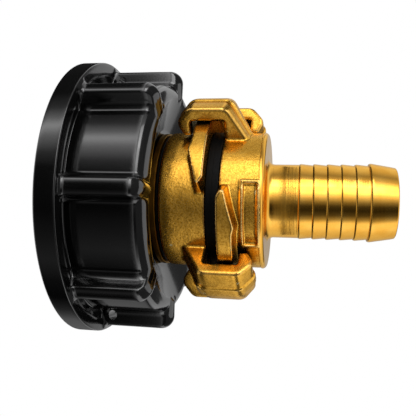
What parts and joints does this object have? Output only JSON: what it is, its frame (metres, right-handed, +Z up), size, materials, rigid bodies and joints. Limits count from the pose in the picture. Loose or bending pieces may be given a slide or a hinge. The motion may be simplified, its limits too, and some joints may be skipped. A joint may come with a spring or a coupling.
{
  "type": "tank adapter with claw hose coupling",
  "caption": "Ribbed plastic union nut with a brass claw quick coupling and barbed hose tail, for drawing liquid from a bulk container's outlet.",
  "frame": {"origin": "centre of the union nut's mouth, on the fitting's axis", "axes": "+X along the axis from the tank to the hose, +Z up, -Y the side with the plaque"},
  "size_m": [0.089, 0.08, 0.08],
  "materials": {
    "black_plastic": "moulded satin",
    "cast_brass": "blasted casting, turned shoulder and tail",
    "turned_brass": "turned",
    "black_rubber": "matt"
  },
  "bodies": {
    "nut": {"union_nut": "black_plastic"},
    "tank_side": {"tank_gasket": "black_rubber", "spigot": "turned_brass", "lock_ring": "turned_brass", "neck_gasket": "black_rubber", "tank_half": "cast_brass", "tank_half_seal": "black_rubber"},
    "hose_seal": {"hose_half_seal": "black_rubber"},
    "hose_side": {"hose_half": "cast_brass"}
  },
  "joints": [
    {"name": "nut_swivel", "type": "hinge", "parent": "nut", "child": "tank_side", "pos_m": [0, 0, 0], "axis": [1, 0, 0], "continuous": true},
    {"name": "coupling_twist", "type": "hinge", "parent": "tank_side", "child": "hose_seal", "pos_m": [0.04, 0, 0], "axis": [1, 0, 0], "range_deg": [0, 84]},
    {"name": "coupling_press", "type": "slide", "parent": "hose_seal", "child": "hose_side", "axis": [-1, 0, 0], "range_m": [0, 0.0012], "stiffness_N_per_m": 10000, "deforming": ["hose_half_seal", "tank_half_seal"]}
  ]
}
